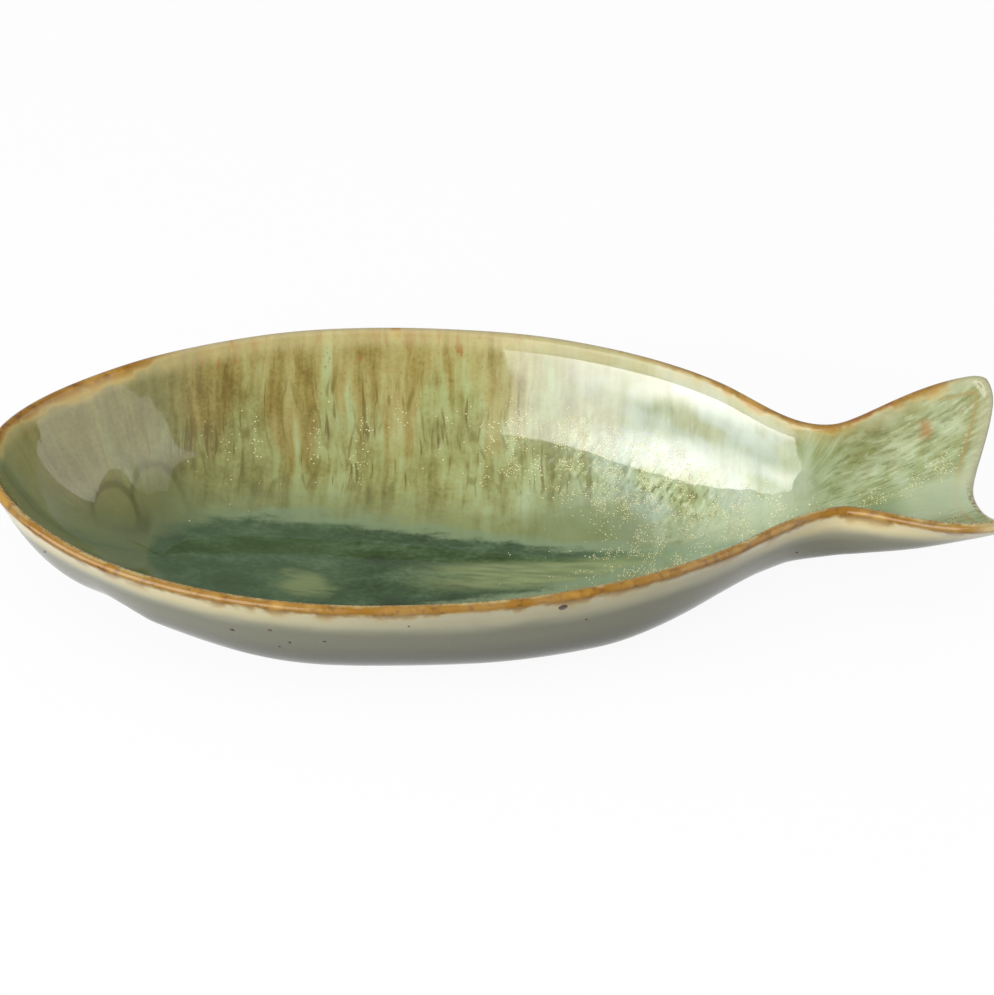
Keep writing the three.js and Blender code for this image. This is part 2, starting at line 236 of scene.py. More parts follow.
def wall_at(along, place):
    """The wall's middle surface, one row of places for each rib, with the way into the bowl there."""
    slope_step = 1e-4
    slope_length = 0.001
    inland_step = 0.02
    inland_share = 0.93
    never_zero = (0, 0, 1e-15)
    ribs = along[:, None]
    walks = distances_down(along)
    down = downs_at(walks, place)
    at = rib_points(ribs, place)
    after = rib_points(np.minimum(1, ribs + slope_step), place)
    before = rib_points(np.maximum(0, ribs - slope_step), place)
    at_mouth = along < slope_step
    before[at_mouth] = after[at_mouth] * (1, -1, 1)
    higher = rib_points(ribs, places_at(walks, down - slope_length))
    lower = rib_points(ribs, places_at(walks, down + slope_length))
    forward = unit(after - before + never_zero)
    up = unit(higher - lower)
    foot_x = np.broadcast_to(rib_feet(on_path(side_path, ribs)[..., 0])[0], place.shape)
    on_keel = place <= 0
    rise = (keel_z(foot_x + slope_length) - keel_z(foot_x - slope_length)) / (2 * slope_length)
    keel_way = unit(np.stack([np.ones_like(rise), np.zeros_like(rise), rise], -1))
    forward = np.where(on_keel[..., None], keel_way, forward)
    up = np.where(on_keel[..., None], (0.0, 1.0, 0.0), up)
    thickened = eased(np.minimum(down, notch[0] - foot_x), 0, thickening_length)
    half = (lip_thickness + (floor_thickness - lip_thickness) * thickened) / 2
    from_end = np.linalg.norm(at - rib_points(np.ones_like(ribs), place), axis=-1)
    apart = np.linalg.norm(np.cross(forward, up), axis=-1, keepdims=True)
    inland = rib_points(np.maximum(0, ribs - inland_step), place * inland_share)
    outwards = unit(at - inland + never_zero)
    leading = up + (outwards - up) * (1 - eased(apart, 0.2, 0.6)) * ~on_keel[..., None]
    return SimpleNamespace(
        at=at,
        inward=unit(np.cross(forward, leading)),
        forward=forward,
        up=up,
        half=half,
        down=down,
        from_lip=np.minimum(down, from_end),
        along=np.broadcast_to(ribs * side_length, place.shape),
    )


def along_at_x(x):
    points, travelled = side_path
    return np.interp(x, points[:, 0], travelled / side_length)


def steps_between(start, end, count):
    return np.linspace(start, end, count, endpoint=False)


rim_band_width = 0.0035
band_rows = 5
wall_rows = 72
head_ribs = 72
belly_ribs = 60
flank_ribs = 24
tail_ribs = 36
tip_ribs = 9
band_tail = 1 - rim_band_width / (notch[0] - waist[0])
band_along = along_at_x(waist[0] + (tail_tip[0] - waist[0]) * band_tail)
columns = np.concatenate([
    steps_between(0, along_at_x(belly[0]), head_ribs),
    steps_between(along_at_x(belly[0]), along_at_x(flank[0]), belly_ribs),
    steps_between(along_at_x(flank[0]), along_at_x(waist[0]), flank_ribs),
    steps_between(along_at_x(waist[0]), band_along, tail_ribs),
    np.linspace(band_along, 1, tip_ribs),
])
band_column = len(columns) - tip_ribs
rib_lengths = distances_down(columns)
row_downs = np.array([
    np.concatenate([
        steps_between(0, rim_band_width, band_rows),
        np.linspace(rim_band_width, walk[-1], wall_rows + 1),
    ])
    for walk in rib_lengths
])
row_places = places_at(rib_lengths, row_downs)
row_places[:, -1] = 0
wall = wall_at(columns, row_places)


def ripple(*coordinates):
    """Smooth noise from -1 to 1 at each point of three arrays of coordinates."""
    points = np.stack(np.broadcast_arrays(*coordinates), -1)
    values = [noise.noise(point) for point in points.reshape(-1, 3).tolist()]
    return np.array(values).reshape(points.shape[:-1])


lip_wave_height = 0.00035
lip_wave_fade = 0.02
wall_wave_height = 0.00022
fine_wave_height = 0.00004


def handmade(y, surface):
    """How far the hand-finished wall strays from the rule: up at the lip, and on its two faces."""
    along, down = surface.along, surface.down
    lip_wave = lip_wave_height * ripple(along * 28, down * 9, y * 9) * np.exp(-down / lip_wave_fade)
    fine_wave = fine_wave_height * ripple(along * 300, down * 14, y * 20)
    inner = fine_wave + wall_wave_height * ripple(along * 34, down * 26, y * 14)
    outer = wall_wave_height * ripple(along * 31 + 40, down * 30, y * 14)
    below_lip = eased(down, 0.001, 0.012)
    return lip_wave, inner * below_lip, outer * below_lip


lip_steps = 14
corner_values = 7


def half_skin(side):
    """The skin of one half: the place, runs and facts of its quads' corners, and the quads' kinds."""
    lip_wave, inner_stray, outer_stray = handmade(side * wall.at[..., 1], wall)
    middle = wall.at + lip_wave[..., None] * (0, 0, 1)
    inner = middle + wall.inward * (wall.half + inner_stray)[..., None]
    outer = middle - wall.inward * (wall.half + outer_stray)[..., None]
    runs = np.stack([wall.along, wall.down], -1)
    last = len(columns) - 1
    line = [(column, 0) for column in range(last)] + [(last, row) for row in range(row_places.shape[1])]
    line_columns, line_rows = np.array(line).T
    way = np.where((line_rows == 0)[:, None], wall.forward[line_columns, line_rows], 0)
    way = way - np.where((line_columns == last)[:, None], wall.up[line_columns, line_rows], 0)
    inward = wall.inward[line_columns, line_rows]
    over = unit(np.cross(inward, way))
    reach = wall.half[line_columns, line_rows][:, None, None]
    angles = np.linspace(0, math.pi, lip_steps + 1)[None, :, None]
    turned = inward[:, None] * np.cos(angles) + over[:, None] * np.sin(angles)
    roll = middle[line_columns, line_rows][:, None] + reach * turned
    roll[:, 0] = inner[line_columns, line_rows]
    roll[:, -1] = outer[line_columns, line_rows]
    roll_runs = np.broadcast_to(runs[line_columns, line_rows][:, None], roll.shape[:2] + (2,))
    sheets = []
    for points, point_runs, from_lip, outside, faces_in in (
        (inner, runs, wall.from_lip, 0.0, True),
        (outer, runs, wall.from_lip, 1.0, False),
        (roll, roll_runs, 0.0, np.linspace(0, 1, lip_steps + 1)[None, :], False),
    ):
        facts = np.empty(points.shape[:2] + (2,))
        facts[..., 0] = from_lip
        facts[..., 1] = outside
        corners = np.concatenate([points * (1, side, 1), point_runs, facts], -1)
        quads = np.stack([corners[:-1, :-1], corners[1:, :-1], corners[1:, 1:], corners[:-1, 1:]], 2)
        if faces_in == (side > 0):
            quads = quads[:, :, ::-1]
        sheets.append(quads)
    column, row = np.indices(sheets[0].shape[:2])
    in_band = (row < band_rows) | (column >= band_column)
    kinds = [np.where(in_band, "rim", "inner"), np.where(in_band, "rim", "outer")]
    kinds.append(np.full(sheets[2].shape[:2], "rim"))
    quads = np.concatenate([sheet.reshape(-1, 4, corner_values) for sheet in sheets])
    return quads, np.concatenate([kind.reshape(-1) for kind in kinds])


halves = [half_skin(1), half_skin(-1)]
skin_corners = np.concatenate([half[0] for half in halves])
skin_kinds = np.concatenate([half[1] for half in halves])
weld_distance = 1e-7
welded = np.round(skin_corners[..., :3].reshape(-1, 3) / weld_distance).astype(np.int64)
_, first_uses, corner_points_used = np.unique(welded, axis=0, return_index=True, return_inverse=True)
welded_corners = skin_corners.reshape(-1, corner_values)[first_uses]
skin_points = welded_corners[:, :3]
skin_facts = welded_corners[:, 5:]
skin_quads = corner_points_used.reshape(-1, 4)
diagonals = skin_points[skin_quads]
quad_ways = np.cross(diagonals[:, 2] - diagonals[:, 0], diagonals[:, 3] - diagonals[:, 1])
skin_ways = np.zeros_like(skin_points)
for corner in range(4):
    np.add.at(skin_ways, skin_quads[:, corner], quad_ways)
skin_ways = unit(skin_ways)
quad_middles = diagonals.mean(axis=1)


def add_piece(name, points, faces, face_runs, face_ways, facts, material):
    """A mesh object whose corners keep the dish's runs and the skin's own shading."""
    mesh = bpy.data.meshes.new(name)
    kept_faces = []
    kept_runs = []
    kept_ways = []
    for face, runs, ways in zip(faces.tolist(), face_runs.tolist(), face_ways.tolist()):
        corners = [i for i in range(4) if face[i] != face[i - 1]]
        kept_faces.append([face[i] for i in corners])
        kept_runs.extend(runs[i] for i in corners)
        kept_ways.extend(ways[i] for i in corners)
    mesh.from_pydata(points.tolist(), [], kept_faces)
    mesh.uv_layers.new(name="runs").uv.foreach_set("vector", np.ravel(kept_runs))
    for column, fact in enumerate(("from_lip", "outside")):
        mesh.attributes.new(fact, "FLOAT", "POINT").data.foreach_set("value", facts[:, column].copy())
    mesh.shade_smooth()
    mesh.normals_split_custom_set(kept_ways)
    mesh.materials.append(material)
    piece = bpy.data.objects.new(name, mesh)
    bpy.context.scene.collection.objects.link(piece)
    return piece


def laid_coat(name, chosen, thickness, material):
    """A coat over the chosen quads of the skin: its face, its back in the clay and the edge between."""
    quads = skin_quads[chosen]
    runs = skin_corners[chosen][..., 3:5]
    used, small = np.unique(quads, return_inverse=True)
    quads = small.reshape(-1, 4)
    face_points = skin_points[used]
    ways = skin_ways[used]
    points = np.concatenate([face_points, face_points - ways * thickness])
    ends = np.stack([quads, np.roll(quads, -1, axis=1)], -1).reshape(-1, 2)
    end_runs = np.stack([runs, np.roll(runs, -1, axis=1)], 2).reshape(-1, 2, 2)
    codes = ends[:, 0] * len(used) + ends[:, 1]
    back_codes = ends[:, 1] * len(used) + ends[:, 0]
    at_edge = ~np.isin(codes, back_codes)
    ends = ends[at_edge]
    end_runs = end_runs[at_edge]
    edges = np.concatenate([ends[:, ::-1], ends + len(used)], 1)
    edge_runs = np.concatenate([end_runs[:, ::-1], end_runs], 1)
    sides = points[edges]
    edge_ways = unit(np.cross(sides[:, 1] - sides[:, 0], sides[:, 2] - sides[:, 1]))
    edge_ways = np.broadcast_to(edge_ways[:, None], (len(edges), 4, 3))
    return add_piece(
        name,
        points,
        np.concatenate([quads, quads[:, ::-1] + len(used), edges]),
        np.concatenate([runs, runs[:, ::-1], edge_runs]),
        np.concatenate([ways[quads], -ways[quads[:, ::-1]], edge_ways]),
        np.concatenate([skin_facts[used]] * 2),
        material,
    )


def paint(red, green, blue):
    """A colour in the screen's values of 0 to 255, as the light values that a material takes."""
    screen = np.array([red, green, blue]) / 255
    light = np.where(screen > 0.04045, ((screen + 0.055) / 1.055) ** 2.4, screen / 12.92)
    return (*light.tolist(), 1.0)


class Field:
    """A number or colour that varies over a surface, with plain arithmetic."""

    def __init__(self, finish, socket):
        self.finish = finish
        self.socket = socket

    def __add__(self, other):
        return self.finish.math("ADD", self, other)

    def __sub__(self, other):
        return self.finish.math("SUBTRACT", self, other)

    def __rsub__(self, other):
        return self.finish.math("SUBTRACT", other, self)

    def __mul__(self, other):
        return self.finish.math("MULTIPLY", self, other)

    __radd__ = __add__
    __rmul__ = __mul__


class Finish:
    """A material whose colour, gloss and relief follow from a piece's own coordinates."""

    coat_roughness = 0.04
    coat_ior = 1.7

    def __init__(self, name):
        self.material = bpy.data.materials.new(name)
        self.material.use_nodes = True
        self.nodes = self.material.node_tree.nodes

    def node(self, kind, feeds, **settings):
        made = self.nodes.new("ShaderNode" + kind)
        for name, value in settings.items():
            setattr(made, name, value)
        for key, value in feeds.items():
            self.feed(made.inputs[key], value)
        return made

    def feed(self, socket, value):
        if isinstance(value, Field):
            self.material.node_tree.links.new(value.socket, socket)
        else:
            socket.default_value = value

    def parts(self, vector):
        made = self.node("SeparateXYZ", {0: Field(self, vector)})
        return [Field(self, socket) for socket in made.outputs]

    def place(self):
        return self.parts(self.node("TexCoord", {}).outputs["Object"])

    def runs(self):
        along, down, _ = self.parts(self.node("UVMap", {}, uv_map="runs").outputs["UV"])
        return along, down

    def fact(self, name):
        return Field(self, self.node("Attribute", {}, attribute_name=name).outputs["Fac"])

    def math(self, operation, *values):
        return Field(self, self.node("Math", dict(enumerate(values)), operation=operation).outputs[0])

    def away(self, value, middle):
        return self.math("ABSOLUTE", value - middle)

    def apart(self, x, y, middle_x, middle_y):
        aside = x - middle_x
        ahead = y - middle_y
        return self.math("SQRT", aside * aside + ahead * ahead)

    def rising(self, value, low, high):
        feeds = {"Value": value, "From Min": low, "From Max": high}
        made = self.node("MapRange", feeds, interpolation_type="SMOOTHSTEP")
        return Field(self, made.outputs["Result"])

    def falling(self, value, low, high):
        return 1 - self.rising(value, low, high)

    def noise(self, x, y, z, detail=2.0):
        at = Field(self, self.node("CombineXYZ", {0: x, 1: y, 2: z}).outputs[0])
        made = self.node("TexNoise", {"Vector": at, "Scale": 1.0, "Detail": detail})
        return Field(self, made.outputs["Fac"])

    def grain(self, scale, detail=2.0, shift=0.0):
        """Noise of one scale in all three directions of space."""
        x, y, z = self.place()
        return self.noise(x * scale, y * scale, z * scale + shift, detail)

    def cells(self, x, y, z):
        """How far a point lies from the border of its cell in a loose net of cells."""
        at = Field(self, self.node("CombineXYZ", {0: x, 1: y, 2: z}).outputs[0])
        feeds = {"Vector": at, "Scale": 1.0}
        return Field(self, self.node("TexVoronoi", feeds, feature="DISTANCE_TO_EDGE").outputs["Distance"])

    def ramp(self, value, *stops):
        """Colours laid out at places from 0 to 1 along a value."""
        made = self.node("ValToRGB", {"Fac": value})
        while len(made.color_ramp.elements) < len(stops):
            made.color_ramp.elements.new(1.0)
        for element, (place, colour) in zip(made.color_ramp.elements, stops):
            element.position = place
            element.color = colour
        return Field(self, made.outputs["Color"])

    def mixed(self, first, second, share):
        made = self.node("Mix", {0: share, 6: first, 7: second}, data_type="RGBA")
        return Field(self, made.outputs[2])

    def layered(self, shown, *layers):
        """A colour with others laid over it in turn, each in screen values and with its share."""
        for colour, share in layers:
            shown = self.mixed(shown, paint(*colour), share)
        return shown

    def finished(self, colour, roughness, relief, relief_depth, ior=1.5, coat=0.0):
        """The material, with its paint, roughness, relief and clear coat fed in."""
        bump = self.node("Bump", {"Height": relief, "Distance": relief_depth})
        shader = self.nodes["Principled BSDF"]
        feeds = {"Base Color": colour, "Roughness": roughness, "IOR": ior, "Coat Weight": coat}
        feeds.update({"Coat Roughness": self.coat_roughness, "Coat IOR": self.coat_ior})
        feeds["Normal"] = Field(self, bump.outputs["Normal"])
        for name, value in feeds.items():
            self.feed(shader.inputs[name], value)
        return self.material


def fired_clay(name, colour, dark_colour):
    """Bare fired clay with a fine sandy grain."""
    finish = Finish(name)
    grain = finish.grain(900, 4.0)
    sand = finish.grain(3000)
    shown = finish.mixed(colour, dark_colour, finish.rising(grain, 0.45, 0.7))
    return finish.finished(shown, 0.75 + 0.2 * grain, grain + 0.5 * sand, relief_depth=0.0001)


def shown_as(piece, node):
    """Puts a piece in the place of a node of the construction."""
    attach(piece, "root")
    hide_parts(node)


glaze_thickness = 0.0005
coat_clearance = 0.00005
shell = add_piece(
    "stoneware_shell",
    skin_points - skin_ways * (glaze_thickness + coat_clearance),
    skin_quads,
    skin_corners[..., 3:5],
    skin_ways[skin_quads],
    skin_facts,
    fired_clay("buff_clay", paint(190, 172, 140), paint(160, 138, 106)),
)
shown_as(shell, "stoneware_body")

# The foot ring
# A low oval ring under the belly, turned up from the same clay and fired onto the shell's underside. Its
# edges are worn round and its clay is left bare, because glaze there would stick to the kiln shelf.
foot_middle_x = -0.025
foot_half_length = 0.050
foot_half_width = 0.024
foot_width = 0.004
foot_edge_radius = 0.0006
foot_seat_depth = 0.0003
foot_steps = 120
edge_steps = 5
skin_faces = []
for quad in skin_quads.tolist():
    skin_faces.append([corner for i, corner in enumerate(quad) if corner != quad[i - 1]])
skin_tree = BVHTree.FromPolygons(skin_points.tolist(), skin_faces)


def skin_z(x, y, from_z, way_z):
    """The height at which a plumb line from a point meets the skin."""
    return skin_tree.ray_cast(Vector((x, y, from_z)), Vector((0, 0, way_z)))[0].z


foot_profile = []
for angle in np.linspace(0, math.pi / 2, edge_steps):
    margin = -foot_edge_radius * (1 - math.sin(angle))
    height = foot_edge_radius * (1 - math.cos(angle))
    foot_profile.append((margin, height))
inner_profile = [(-foot_width - margin, height) for margin, height in reversed(foot_profile)]
foot_rows = [*foot_profile, (0, None), (-foot_width, None), *inner_profile]
foot_points = []
for margin, height in foot_rows:
    for step in range(foot_steps):
        angle = 2 * math.pi * step / foot_steps
        x = foot_middle_x + (foot_half_length + margin) * math.cos(angle)
        y = (foot_half_width + margin) * math.sin(angle)
        z = skin_z(x, y, 0.0, 1.0) + foot_seat_depth if height is None else height
        foot_points.append((x, y, z))
foot_faces = []
for row in range(len(foot_rows)):
    below = row * foot_steps
    above = (row + 1) % len(foot_rows) * foot_steps
    for step in range(foot_steps):
        following = (step + 1) % foot_steps
        foot_faces.append((below + step, below + following, above + following, above + step))


def add_mesh(name, points, faces, material):
    mesh = bpy.data.meshes.new(name)
    mesh.from_pydata(points, [], faces)
    mesh.shade_smooth()
    mesh.materials.append(material)
    piece = bpy.data.objects.new(name, mesh)
    bpy.context.scene.collection.objects.link(piece)
    return piece


bare_clay = fired_clay("bare_clay", paint(186, 164, 130), paint(150, 124, 92))
foot = add_mesh("foot", foot_points, foot_faces, bare_clay)
shown_as(foot, "foot_ring")

# The green glaze inside
# A thick reactive glaze poured over the inside. Khaki iron drips run down it from the lip, it breaks to
# pale celadon between them and towards the tail, and it gathers dark and milky-edged in the well.
pool_head_x = -0.1045
pool_length = 0.162
pool_half_width = 0.0235


def pool_inside(finish, x, y):
    """How far a point lies inside the pool's shore line, negative outside it."""
    share = finish.math("MULTIPLY", x - pool_head_x, 1 / pool_length)
    root = finish.math("SQRT", finish.math("MINIMUM", finish.math("MAXIMUM", share, 0.0), 1.0))
    half_width = finish.math("SINE", root * math.pi) * pool_half_width
    return half_width - finish.math("ABSOLUTE", y)


def pooled_colour(finish, x, y):
    """The deep glaze of the well, with pale clouds, a long light band towards the tail and painted shade
    along its near side.
    """
    cloud = finish.noise(x * 70, y * 150, 3.0, 5.0)
    streak = finish.noise(x * 60, y * 420 + x * 60, 8.0, 4.0)
    grain = finish.noise(x * 500, y * 700, 14.0, 3.0)
    deep = finish.ramp(
        cloud + (grain - 0.5) * 0.5,
        (0.28, paint(48, 68, 42)),
        (0.5, paint(66, 89, 58)),
        (0.75, paint(94, 119, 88)),
    )
    # Painted shade: the pool is darkened along its near side, under the near wall.
    near_side_shade = finish.falling(y, -0.018, -0.010) * finish.rising(x, -0.042, -0.030)
    band = finish.falling(finish.away(y, -0.0035), 0.003, 0.0085)
    band = band * finish.rising(x, -0.035, 0.002) * (0.55 + finish.rising(streak, 0.36, 0.6) * 0.45)
    blob = finish.apart(x, y * 1.6, -0.058, -0.0128) + (cloud - 0.5) * 0.022
    blob = finish.falling(blob, 0.003, 0.0125) * finish.rising(streak, 0.25, 0.5)
    return finish.layered(
        deep,
        ((42, 60, 35), near_side_shade * 0.8),
        ((88, 112, 78), finish.falling(x, -0.060, -0.030) * 0.35),
        ((104, 132, 95), finish.rising(x, 0.005, 0.055) * 0.6),
        ((144, 156, 107), band * 0.9),
        ((132, 147, 100), blob * 0.85),
    )


def glaze_fields(finish):
    """The places, zones and streaks from which the paint of the glaze inside is made."""
    at = SimpleNamespace()
    at.x, at.y, at.z = finish.place()
    at.along, at.down = finish.runs()
    at.from_lip = finish.fact("from_lip")
    at.sides = at.y * 20
    at.cloud = finish.grain(130, 5.0)
    at.grain = finish.grain(800, 3.0)
    at.run = at.along + (finish.noise(at.along * 70, at.down * 34, at.sides + 3) - 0.5) * 0.006
    at.wide = finish.noise(at.run * 190, at.down * 26, at.sides + 5, 3.0)
    at.narrow = finish.noise(at.run * 480, at.down * 44, at.sides + 11, 3.0)
    at.streaked = (at.wide - 0.5) * 1.05 + (at.narrow - 0.5) * 0.7
    at.clear = finish.rising(finish.apart(at.x, at.y, head_hub_x, 0.0), 0.012, 0.040)
    at.to_tail = finish.rising(at.x, -0.02, 0.055)
    at.in_tail = finish.rising(at.x, 0.085, 0.105)
    at.to_head = finish.falling(at.x, -0.110, -0.060)
    at.off_keel = finish.away(at.y, 0.0)
    at.fan = finish.math("DIVIDE", at.y, finish.math("MAXIMUM", at.x - 0.06, 0.02))
    return at


def wall_ground(finish, at):
    """Khaki iron run down from the lip, over glaze that settles to sage and pales towards the tail."""
    brushed = finish.noise(at.fan * 40, at.x * 110, 70.0, 4.0) - 0.5
    streaked = at.streaked * at.clear * (1 - at.to_head * 0.5) * (1 - at.in_tail)
    mottled = (at.cloud - 0.5) * 0.35 + (at.grain - 0.5) * 0.35
    head_half = finish.falling(at.x, -0.078, -0.046)
    tone = streaked + brushed * at.in_tail * 1.3 + mottled + 0.5 - head_half * 0.12
    ran = finish.ramp(
        tone - at.to_head * 0.1,
        (0.12, paint(114, 95, 40)),
        (0.34, paint(144, 128, 66)),
        (0.5, paint(159, 144, 85)),
        (0.66, paint(166, 157, 97)),
        (0.86, paint(171, 169, 114)),
    )
    settled = finish.ramp(
        tone + (at.cloud - 0.5) * 0.5 - at.to_head * 0.17,
        (0.12, paint(108, 104, 50)),
        (0.34, paint(138, 137, 79)),
        (0.5, paint(153, 156, 98)),
        (0.66, paint(160, 167, 112)),
        (0.86, paint(167, 178, 129)),
    )
    pale = finish.ramp(
        (tone - 0.5) * 0.7 + (at.cloud - 0.5) * 1.0 + 0.5,
        (0.1, paint(122, 129, 80)),
        (0.35, paint(152, 162, 114)),
        (0.6, paint(172, 186, 145)),
        (0.9, paint(196, 210, 178)),
    )
    settled = finish.mixed(settled, pale, at.to_tail)
    broad = finish.noise(at.run * 75, at.down * 12, at.sides)
    reach = 0.014 + finish.rising(broad, 0.33, 0.68) * 0.030 - at.to_tail * 0.012
    ragged = at.down + (at.wide - 0.5) * 0.05 + (at.narrow - 0.5) * 0.03
    drip = finish.falling(ragged, reach - 0.012, reach + 0.012) * (1 - at.to_tail * 0.7)
    return finish.mixed(settled, ran, drip * 0.9)


def wall_marks(finish, at, shown):
    """Thin dark marks, dark outlines around pale tongues, and freckles and rust that drip from the lip."""
    on_wall = finish.rising(at.down, 0.008, 0.020) * finish.falling(at.down, 0.044, 0.060)
    on_wall = on_wall * at.clear * (1 - at.in_tail)
    mark = finish.noise(at.run * 540, at.down * 52, at.sides + 23) + (at.grain - 0.5) * 0.15
    patchy = finish.rising(finish.noise(at.along * 70, at.down * 60, at.sides + 31), 0.42, 0.58)
    mark = finish.rising(mark, 0.575, 0.65) * patchy * on_wall
    border = finish.falling(finish.cells(at.run * 210, at.down * 34, at.sides), 0.015, 0.08)
    broken = finish.rising(finish.noise(at.run * 150, at.down * 110, at.sides + 37), 0.46, 0.62)
    near_lip = finish.falling(at.down, 0.012, 0.040)
    freckle = finish.rising(finish.grain(1500, 1.0), 0.66, 0.74)
    rust = finish.noise(at.run * 330, at.down * 90, at.sides + 43, 2.0) + (at.grain - 0.5) * 0.25
    rust = finish.rising(rust - at.from_lip * 16, 0.53, 0.6) * finish.falling(at.x, 0.000, 0.030)
    return finish.layered(
        shown,
        ((102, 90, 38), mark * (0.8 - at.to_tail * 0.45)),
        ((112, 102, 46), border * broken * on_wall * (0.65 - at.to_tail * 0.3)),
        ((124, 78, 34), freckle * near_lip * (1 - at.to_tail) * 0.5),
        ((146, 96, 40), rust * 0.7),
    )


def slanted_flecks(finish, at, shown):
    """Dark flecks and pale veins, slanting in the drift of crystals and drawn along the tail."""
    in_drift = finish.noise((at.along + at.down * 0.6) * 560, (at.down - at.along * 0.6) * 150, 77.0, 3.0)
    in_tail = finish.noise(at.fan * 75, at.x * 170, 83.0, 3.0)
    fleck = in_drift * (1 - at.in_tail) + in_tail * at.in_tail + (at.grain - 0.5) * 0.3
    low = finish.rising(at.z, 0.010, 0.015) * finish.falling(at.z, 0.022, 0.034)
    where = finish.rising(at.x, 0.000, 0.040) * low * (1 - at.in_tail)
    where = finish.math("MAXIMUM", where, at.in_tail * 0.75)
    dark = finish.rising(fleck, 0.54, 0.66) * where
    vein = finish.falling(fleck, 0.36, 0.45) * where
    shown = finish.layered(shown, ((108, 112, 62), dark * 0.75), ((206, 214, 180), vein * 0.6))
    return shown, where * fleck


def head_floor(finish, at, shown):
    """The greener wall of the head, with its lower floor darkened as painted shade, where the glaze ran in
    two round lobes.
    """
    in_head = finish.falling(at.x, -0.104, -0.088)
    # Painted shade: the lower floor of the head's hollow is darkened to a deep green.
    head_floor_shade = finish.falling(at.x, -0.104, -0.082) * finish.rising(at.down, 0.030, 0.056)
    shown = finish.layered(shown, ((118, 124, 80), in_head * 0.45), ((60, 70, 38), head_floor_shade * 0.88))
    for lobe_x, lobe_y, lobe_radius in ((-0.1015, 0.022, 0.0085), (-0.1145, 0.0145, 0.0065)):
        apart = finish.apart(at.x, at.y * 0.8, lobe_x, lobe_y * 0.8) + (at.cloud - 0.5) * 0.003
        upper = finish.rising(at.y, lobe_y - lobe_radius, lobe_y)
        filled = finish.falling(apart, lobe_radius * 0.8, lobe_radius) * upper
        ring = finish.falling(finish.away(apart, lobe_radius), 0.0002, 0.0013) * upper
        shown = finish.layered(shown, ((130, 134, 80), filled * 0.4), ((86, 86, 42), ring * 0.55))
    return shown


def rear_wall(finish, at, shown):
    """The greyer wall behind the pool's tail end, with opal clouds on its far side."""
    upper_rear = finish.rising(at.x, 0.000, 0.025) * (1 - at.in_tail) * finish.rising(at.z, 0.018, 0.030)
    opal = finish.noise(at.x * 60, at.down * 80, at.sides + 90, 2.0)
    opal = finish.rising(opal, 0.4, 0.62) * finish.rising(at.x, 0.015, 0.045) * (1 - at.in_tail)
    opal = opal * finish.rising(at.y, 0.005, 0.015)
    return finish.layered(shown, ((118, 126, 84), upper_rear * 0.5), ((172, 190, 186), opal * 0.45))


def pool_shore(finish, at, shown):
    """Glaze that darkens towards the pool and is milky at its shore, and the share of it that is pool."""
    flow = finish.noise(at.x * 70, at.y * 230, 9.0, 4.0)
    inside = pool_inside(finish, at.x, at.y) + (flow - 0.5) * 0.010 + (at.cloud - 0.5) * 0.006
    by_flank = finish.rising(at.x, 0.000, 0.030) * finish.falling(at.x, 0.038, 0.054)
    nearing = finish.rising(inside + by_flank * 0.012, -0.022, -0.002) * (0.62 + by_flank * 0.18)
    waist_floor = finish.rising(at.x, 0.052, 0.068) * finish.falling(at.off_keel, 0.010, 0.020)
    halo = finish.rising(inside, -0.007, -0.001) * finish.rising(at.x, -0.100, -0.075)
    shown = finish.layered(
        shown,
        ((122, 134, 92), nearing),
        ((194, 208, 176), waist_floor * (1 - at.in_tail) * 0.5),
        ((126, 152, 122), halo * 0.55),
    )
    soft_edge = finish.falling(at.x, -0.100, -0.078) * 0.004
    pooled = finish.rising(inside + (at.grain - 0.5) * 0.003, -0.0016 - soft_edge, 0.0028 + soft_edge)
    return finish.mixed(shown, pooled_colour(finish, at.x, at.y), pooled), pooled


def tail_and_lip(finish, at, shown):
    """Cream under the far lip, a tan line along the tail's end, a pale tail floor and a rusty smudge."""
    tail_end = finish.rising(at.x, 0.134, 0.140)
    far_side = finish.rising(at.y, -0.005, 0.005)
    cream = finish.falling(at.from_lip, 0.001, 0.006 - tail_end * 0.003) * far_side
    cream_colour = finish.mixed(paint(196, 184, 132), paint(188, 190, 158), tail_end)
    shown = finish.mixed(shown, cream_colour, cream * 0.45)
    tan_line = finish.falling(finish.away(at.from_lip, 0.0036), 0.0002, 0.0009)
    tail_sides = finish.rising(at.off_keel, 0.012, 0.020) * at.in_tail
    tail_floor = finish.rising(at.x, 0.116, 0.128) * finish.falling(at.off_keel, 0.006, 0.014)
    smudge = finish.apart(at.x, at.y, 0.1315, 0.0248) + (at.grain - 0.5) * 0.003
    return finish.layered(
        shown,
        ((168, 140, 84), tan_line * tail_end * 0.6),
        ((110, 112, 62), tail_sides * 0.2),
        ((198, 210, 174), tail_floor * 0.55),
        ((158, 108, 46), finish.falling(smudge, 0.0006, 0.0032) * 0.7),
    )


